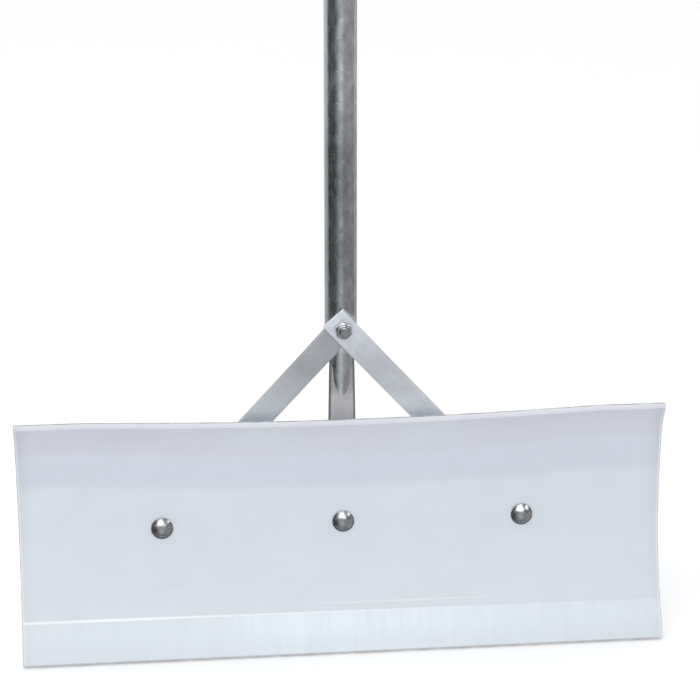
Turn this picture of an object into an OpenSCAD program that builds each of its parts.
// Snow pusher shovel: a curved polyethylene blade bolted to a round tube
// handle. The lower end of the tube is cut away and pressed flat into a
// tongue that lies on the back of the blade. Two flat braces cross at one
// through-bolt on the front of the tube and run down to the outer bolts.
// +Z runs up the handle, X across the blade, -Y is the pushing side.
// Z = 0 is the lowest edge of the blade.

/* [Blade] */
// Width of the blade, end to end
blade_w = 610; // [500:5:760]
// Thickness of the blade sheet
blade_t = 6.35; // [5:0.05:7]
// Backward lean of the sheet at the bolt line, in degrees
blade_lean = 4.6; // [3:0.1:6]
// Length of the gentle arc above the bolt line
upper_len = 74.8; // [68:0.2:82]
// Radius of the gentle arc above the bolt line
upper_r = 457; // [400:1:600]
// Length of the forward curl along the top edge
curl_len = 35.4; // [26:0.2:40]
// Radius of the forward curl along the top edge
curl_r = 60.4; // [56:0.2:90]
// Length of the arc below the bolt line
lower_len = 86.6; // [75:0.2:95]
// Radius of the arc below the bolt line
lower_r = 231; // [200:1:320]
// Dip of the top edge at the middle of the blade
top_dip = 8.6; // [2:0.2:10]
// Width of the dip in the top edge
dip_w = 480; // [300:10:490]
// Length of the flat wear lip along the bottom edge
lip_len = 38.4; // [30:0.2:60]
// Forward bend at the top of the wear lip, in degrees
lip_bend = 1.2; // [0.6:0.1:8]

/* [Handle] */
// Height from the blade's lowest edge to the top of the end cap
overall_h = 1400; // [1100:10:1600]
// Outside diameter of the handle tube
tube_d = 30; // [29:0.1:31]
// Wall thickness of the handle tube
tube_wall = 1.6; // [1.4:0.1:2]
// Distance from the blade's face at the bolt line to the front of the tube
tube_front = 5.5; // [5:0.1:6]
// Width of the flattened tongue where it leaves the tube
tongue_top_w = 24; // [22:0.5:25]
// Width of the flattened tongue behind the blade
tongue_low_w = 27.4; // [25:0.2:29]

/* [Braces] */
// Width of the flat brace bar
brace_w = 24.5; // [22:0.5:26]
// Thickness of the flat brace bar
brace_t = 3.2; // [2.5:0.1:3.4]
// Distance the bar runs past each bolt centre
brace_over = 14.3; // [13:0.1:16]
// Height of the bracket bolt above the blade's bolt line
bracket_h = 191.4; // [185:0.2:200]
// Spacing from the centre blade bolt to each outer blade bolt
bolt_pitch = 171.45; // [150:0.05:190]

/* [Fasteners] */
// Diameter of the bolt shanks
bolt_d = 9.5; // [9:0.1:9.8]
// Diameter of the domed bolt heads
head_d = 20.6; // [19:0.1:21]
// Height of the domed bolt heads
head_h = 4.9; // [4:0.1:5.5]
// Size of the nuts across their flats
nut_af = 14.3; // [13.8:0.1:15]
// Outside diameter of the flat washers
washer_d = 22; // [20:0.5:23]
// Thickness of the flat washers
washer_t = 1.6; // [1.2:0.1:2]
// Under-head length of the blade bolts
blade_bolt_len = 26.2; // [26:0.1:30]
// Under-head length of the bracket bolt
bracket_bolt_len = 50.8; // [50:0.1:56]

/* [Grip] */
// Length of the foam hand grip
grip_len = 280; // [150:5:400]
// Outside diameter of the foam hand grip
grip_d = 37; // [35:0.5:40]

/* [Hidden] */

// facets of the curved faces
dip_fn = 1440;
arc_fn = 720;
round_fn = 96;
hole_fn = 64;
edge_fn = 48;

gap = 0.05;                      // clearance between touching pieces
seat_gap = 0.1;                  // behind the blade, and under the bracket bolt's head
head_stand = 0.3;                // blade bolt heads stand off the hollow face
past = 1;                        // how far a bore's cut runs past an end

// bolts and their holes
bolt_r = bolt_d / 2;
hole_r = bolt_r + 0.4;
neck = bolt_d;                   // side of the square under the domed head
neck_h = 4.2;
square_hole = neck + 0.2;
head_rim = 0.8;                  // straight edge of the domed head
head_lap = 0.4;                  // the neck's overlap into the head
point_step = 0.9;                // step at the shank's end, both ways

// lock nuts and the inserts in their collars
nut_r = nut_af / 2;
nut_h = 8.2;                     // hex part
nut_chamfer_h = 0.9;
crown_h = 3.4;                   // round collar above the hex
pocket_r = nut_r - 1.2;
pocket_z = nut_h - 0.4;
pocket_h = crown_h - 0.3;

// Blade section in the Y,Z plane. The sheet's front face crosses the bolt
// line at [0, 0], and each arc's centre lies in front of the sheet.
function arc_angle(len, r) = len / r * 180 / PI;
function polar(origin, r, angle) = origin + r * [cos(angle), sin(angle)];
bolt_line = [0, 0];
bolt_a = -blade_lean;
curl_a = bolt_a + arc_angle(upper_len, upper_r);
top_a = curl_a + arc_angle(curl_len, curl_r);
lip_a = bolt_a - arc_angle(lower_len, lower_r);
bottom_a = lip_a - lip_bend;
upper_centre = polar(bolt_line, -upper_r, bolt_a);
curl_centre = polar(upper_centre, upper_r - curl_r, curl_a);
lower_centre = polar(bolt_line, -lower_r, bolt_a);
curl_start = polar(upper_centre, upper_r, curl_a);
top_edge = polar(curl_centre, curl_r, top_a);
lip_start = polar(lower_centre, lower_r, lip_a);
bottom_front = lip_start + lip_len * [sin(bottom_a), -cos(bottom_a)];
bottom_back = polar(bottom_front, blade_t, bottom_a);
dip_r = (dip_w * dip_w / 4 + top_dip * top_dip) / (2 * top_dip);

tube_r = tube_d / 2;
tube_y = tube_front + tube_r;    // the tube's axis
tube_back = tube_y + tube_r;
bracket_seat_y = tube_back + seat_gap;

// Offsets of the whole: lowest edge at Z = 0, and Y = 0 midway between the
// blade's front edge and the back of the bracket bolt's head.
off_z = -bottom_back[1];
off_y = -(bottom_front[0] + bracket_seat_y + head_h) / 2;
cap_lip = 4;                     // thickness of the end cap above the tube
tube_top = overall_h - off_z - cap_lip - gap;

// The tongue and the braces start as tabs square to the bolts, then bend.
tab_up = [sin(blade_lean), cos(blade_lean)];
tab_bolt = polar(bolt_line, blade_t + seat_gap, bolt_a);
tab_low = tab_bolt - 40 * tab_up;
tab_bend = tab_bolt + 50 * tab_up;
brace_bend_z = 165;              // second bend of the braces
left_y = tube_front - gap - brace_t;
right_y = left_y - gap - brace_t;

// the tongue, and the ridge where the tube's front wall sinks into it
tongue_y = tab_bend[0];
ridge_top = 178;                 // where the wall starts to sink back
ridge_tip = 124;                 // where it is level with the tongue
ridge_y = tube_front + 0.4;      // front of the ridge at its top
sink = atan((tongue_y - ridge_y) / (ridge_top - ridge_tip));
// half of the tongue's outline: [half width, height]
tongue_half = [[tongue_low_w / 2, tab_bolt[1] - 16], [tongue_low_w / 2, 60],
               [tongue_top_w / 2, 152], [tongue_top_w / 2 - 1.2, 166]];

// ---- Frames and shared shapes ----

// moves the bolt line's frame to its place in the whole
module place() translate([0, off_y, off_z]) children();

// frame of a blade bolt: z = 0 on the blade's front face, +z forward out of it
module at_blade_bolt(x) translate([x, 0, 0]) rotate([90 - blade_lean, 0, 0]) children();

// a shape drawn in Y,Z and extruded across X
module across(w) rotate([90, 0, 90]) linear_extrude(height = w, center = true) children();

module rod(r, h) cylinder(r = r, h = h, $fn = round_fn);
module hole(r, h, center = false) cylinder(r = r, h = h, center = center, $fn = hole_fn);
module bolt_hole(h) hole(hole_r, h, center = true);

// bar of sheet metal whose front face follows points in the Y,Z plane
function unit(v) = v / norm(v);
function normal(from, to) = let (u = unit(to - from)) [u[1], -u[0]];
function mitre(before, after) = (before + after) / (1 + before * after);
function back_face(front, t) = [for (i = [0 : len(front) - 1])
    let (before = i == 0 ? normal(front[0], front[1]) : normal(front[i - 1], front[i]),
         after = i == len(front) - 1 ? before : normal(front[i], front[i + 1]))
    front[i] + t * mitre(before, after)];
function reversed(list) = [for (i = [len(list) - 1 : -1 : 0]) list[i]];
module sheet_profile(front, t) polygon(concat(front, reversed(back_face(front, t))));

// ---- Blade ----

// frame of a seam across the sheet: x through its thickness, y up along it
module at_seam(point, angle) translate(point) rotate(angle) children();

// arc of sheet between a low and a high seam
module arc_strip(centre, r, low, low_a, high, high_a) {
    far = r + 2 * blade_t;
    intersection() {
        translate(centre) difference() {
            circle(r = r + blade_t, $fn = arc_fn);
            circle(r = r, $fn = arc_fn);
        }
        at_seam(low, low_a) translate([-far, 0]) square([2 * far, far]);
        at_seam(high, high_a) translate([-far, -far]) square([2 * far, far]);
    }
}

// flat wear lip, bent forward at its top
module lip_profile() {
    lip_end = lip_len * [-sin(lip_bend), -cos(lip_bend)];
    at_seam(lip_start, lip_a) polygon([[0, 0], [blade_t, 0],
        polar([0, 0], blade_t, -lip_bend), polar(lip_end, blade_t, -lip_bend), lip_end]);
}

module blade() color("#d6dfe6") place() difference() {
    union() {
        across(blade_w)
            arc_strip(upper_centre, upper_r, bolt_line, bolt_a, curl_start, curl_a);
        across(blade_w)
            arc_strip(curl_centre, curl_r, curl_start, curl_a, top_edge, top_a);
        across(blade_w)
            arc_strip(lower_centre, lower_r, lip_start, lip_a, bolt_line, bolt_a);
        across(blade_w) lip_profile();
    }
    for (x = [-bolt_pitch, 0, bolt_pitch])
        at_blade_bolt(x) cube([square_hole, square_hole, 40], center = true);
    // shallow dip along the top edge, cut square to the sheet
    translate([0, top_edge[0], top_edge[1]]) rotate([top_a - 90, 0, 0])
        translate([0, top_dip - dip_r, 0])
            cylinder(r = dip_r, h = 50, center = true, $fn = dip_fn);
}

// ---- Braces ----

// side is -1 for left, 1 for right; face_y is the front face at the tube
module brace(side, face_y, trim) {
    path = [tab_low, tab_bend, [face_y, brace_bend_z], [face_y, bracket_h + 60]];
    run = norm([bolt_pitch, bracket_h]);
    lean = atan(bolt_pitch / bracket_h);
    trim_x = tube_r - 2;
    trim_w = 50;
    difference() {
        intersection() {
            across(2 * blade_w) sheet_profile(path, brace_t);
            translate([0, 0, bracket_h]) rotate([0, side * (180 - lean), 0])
                translate([-brace_w / 2, -100, -brace_over])
                    cube([brace_w, 200, run + 2 * brace_over]);
        }
        translate([0, 0, bracket_h]) rotate([90, 0, 0]) bolt_hole(80);
        at_blade_bolt(side * bolt_pitch) bolt_hole(80);
        // upper end cut off upright, just inside the tube's far side
        if (trim) translate([-side * (trim_x + trim_w / 2), 0, bracket_h])
            cube([trim_w, 80, 60], center = true);
    }
}
module left_brace() color("#b4bcc2") place() brace(-1, left_y, true);
module right_brace() color("#c3cad0") place() brace(1, right_y, false);

// ---- Handle tube ----

module shell(h) difference() {
    rod(tube_r, h);
    translate([0, 0, -past]) rod(tube_r - tube_wall, h + 2 * past);
}

// full round tube down to a slanted cut at the back
module round_tube() {
    cut_back = tube_back + 5;
    cut_low = ridge_top - 5;
    difference() {
        translate([0, tube_y, ridge_top]) shell(tube_top - ridge_top);
        across(4 * tube_r)
            polygon([[tube_y, cut_low], [cut_back, cut_low], [cut_back, ridge_top + 6]]);
    }
}

// front wall of the tube, sinking back into the tongue: it starts
// inside the end of the round tube and ends inside the tongue
module ridge() {
    below = 90;
    lap = 4;
    front = tube_front - 9;
    back = tongue_y + tube_wall - 0.3;
    low = ridge_tip - 12;
    high = ridge_top + 2;
    intersection() {
        translate([0, ridge_y, ridge_top]) rotate([sink, 0, 0])
            translate([0, tube_r, -below]) shell(below + lap);
        across(4 * tube_r) polygon([[front, low], [back, low], [back, 158],
            [tube_y - 2.5, high], [front, high]]);
    }
}

// flat tongue, bent at the bottom to lie on the blade
module tongue() intersection() {
    across(4 * tube_r) sheet_profile([tab_low, tab_bend, [tongue_y, 200]], tube_wall);
    rotate([90, 0, 0]) linear_extrude(height = 200, center = true)
        polygon(concat(tongue_half, [for (p = reversed(tongue_half)) [-p[0], p[1]]]));
}

module handle_tube() color("#84898c") place() difference() {
    union() {
        round_tube();
        ridge();
        tongue();
    }
    // bracket bolt: round hole in front, square hole behind
    translate([0, tube_front, bracket_h]) rotate([90, 0, 0]) bolt_hole(20);
    translate([0, tube_back, bracket_h]) cube([square_hole, 20, square_hole], center = true);
    at_blade_bolt(0) bolt_hole(40);
}

// ---- Fasteners ----

// domed bolt with its head's underside at z = 0 and its shank towards -z
module carriage_bolt(shank_len) {
    dome_h = head_h - head_rim;
    dome_r = (pow(head_d / 2, 2) + dome_h * dome_h) / (2 * dome_h);
    intersection() {
        translate([0, 0, head_h - dome_r]) sphere(r = dome_r, $fn = round_fn);
        rod(head_d / 2, head_h + 1);
    }
    translate([0, 0, (head_lap - neck_h) / 2])
        cube([neck, neck, neck_h + head_lap], center = true);
    translate([0, 0, -shank_len]) hole(bolt_r - point_step, 2);
    translate([0, 0, -shank_len + point_step]) hole(bolt_r, shank_len);
}

module washer() difference() {
    rod(washer_d / 2, washer_t);
    translate([0, 0, -past]) hole(hole_r + 0.1, washer_t + 2 * past);
}

// lock nut, seated face at z = 0, collar towards +z
module lock_nut() difference() {
    face_r = nut_r - 0.1;
    wide_r = nut_r + 1.4;
    union() {
        intersection() {
            cylinder(r = nut_r / cos(30), h = nut_h, $fn = 6);
            rotate_extrude($fn = round_fn) polygon([[0, 0], [face_r, 0],
                [wide_r, nut_chamfer_h], [wide_r, nut_h - nut_chamfer_h],
                [face_r, nut_h], [0, nut_h]]);
        }
        translate([0, 0, nut_h - 1]) rod(nut_r - 0.5, crown_h + 1);
    }
    translate([0, 0, -past]) hole(bolt_r + 0.1, nut_h + 2 * past);
    translate([0, 0, pocket_z]) hole(pocket_r, pocket_h);
    translate([0, 0, nut_h]) hole(bolt_r + 0.7, crown_h + past);
}

// ring in the pocket of the nut's collar
module nut_insert() translate([0, 0, pocket_z + gap]) difference() {
    hole(pocket_r - gap, pocket_h - 2 * gap);
    translate([0, 0, -past]) hole(bolt_r + gap, crown_h + 2 * past);
}

// Blade fasteners: side is -1 for left, 0 for centre, 1 for right. The
// washer's back face is washer_back(side) along the bolt's frame.
function tab_t(side) = side == 0 ? tube_wall : brace_t;
function washer_back(side) = -(blade_t + seat_gap + tab_t(side) + gap) - washer_t;
module at_side(side, z) place() at_blade_bolt(side * bolt_pitch)
    translate([0, 0, z]) children();
module on_washer(side) at_side(side, washer_back(side) - gap) rotate([180, 0, 0]) children();

// bracket nut's frame: on the front of the right brace, +z forward
module on_brace() place() translate([0, right_y - gap, bracket_h])
    rotate([90, 0, 0]) children();

bolt_color = "#a9adb0";
washer_color = "#9fa3a6";
nut_color = "#a4a8ab";
insert_color = "#e8e6dc";

module blade_bolt(side) color(bolt_color) at_side(side, head_stand)
    carriage_bolt(blade_bolt_len);
module blade_washer(side) color(washer_color) at_side(side, washer_back(side)) washer();
module blade_nut(side) color(nut_color) on_washer(side) lock_nut();
module blade_insert(side) color(insert_color) on_washer(side) nut_insert();

module left_blade_bolt() blade_bolt(-1);
module center_blade_bolt() blade_bolt(0);
module right_blade_bolt() blade_bolt(1);
module left_washer() blade_washer(-1);
module center_washer() blade_washer(0);
module right_washer() blade_washer(1);
module left_lock_nut() blade_nut(-1);
module center_lock_nut() blade_nut(0);
module right_lock_nut() blade_nut(1);
module left_nut_insert() blade_insert(-1);
module center_nut_insert() blade_insert(0);
module right_nut_insert() blade_insert(1);

// the bracket bolt's head is behind the tube
module bracket_bolt() color(bolt_color) place()
    translate([0, bracket_seat_y, bracket_h]) rotate([-90, 0, 0])
        carriage_bolt(bracket_bolt_len);
module bracket_lock_nut() color(nut_color) on_brace() lock_nut();
module bracket_nut_insert() color(insert_color) on_brace() nut_insert();

// ---- Grip and end cap ----
grip_r = grip_d / 2;
grip_round = 2;
cap_r = grip_r - 1;
cap_round = 1.5;
plug_len = 22;
plug_r = tube_r - tube_wall;

// foam sleeve over the top of the tube, with rounded ends
module hand_grip() color("#26272a") place()
    translate([0, tube_y, tube_top - grip_len]) difference() {
        rotate_extrude($fn = round_fn) {
            square([grip_r - grip_round, grip_len]);
            translate([0, grip_round]) square([grip_r, grip_len - 2 * grip_round]);
            for (z = [grip_round, grip_len - grip_round])
                translate([grip_r - grip_round, z]) circle(r = grip_round, $fn = edge_fn);
        }
        translate([0, 0, -past]) rod(tube_r + gap, grip_len + 2 * past);
    }

// cap on the tube's top, with a hollow plug inside the tube
module end_cap() color("#1d1e20") place() translate([0, tube_y, tube_top + gap]) {
    rotate_extrude($fn = round_fn) {
        square([cap_r - cap_round, cap_lip]);
        square([cap_r, cap_lip - cap_round]);
        translate([cap_r - cap_round, cap_lip - cap_round])
            circle(r = cap_round, $fn = edge_fn);
    }
    translate([0, 0, -plug_len]) difference() {
        rod(plug_r - gap, plug_len + 0.5);
        translate([0, 0, -past]) rod(plug_r - 2.5, 20);
    }
}

blade();
handle_tube();
left_brace();
right_brace();
left_blade_bolt();
center_blade_bolt();
right_blade_bolt();
left_washer();
center_washer();
right_washer();
left_lock_nut();
center_lock_nut();
right_lock_nut();
left_nut_insert();
center_nut_insert();
right_nut_insert();
bracket_bolt();
bracket_lock_nut();
bracket_nut_insert();
hand_grip();
end_cap();
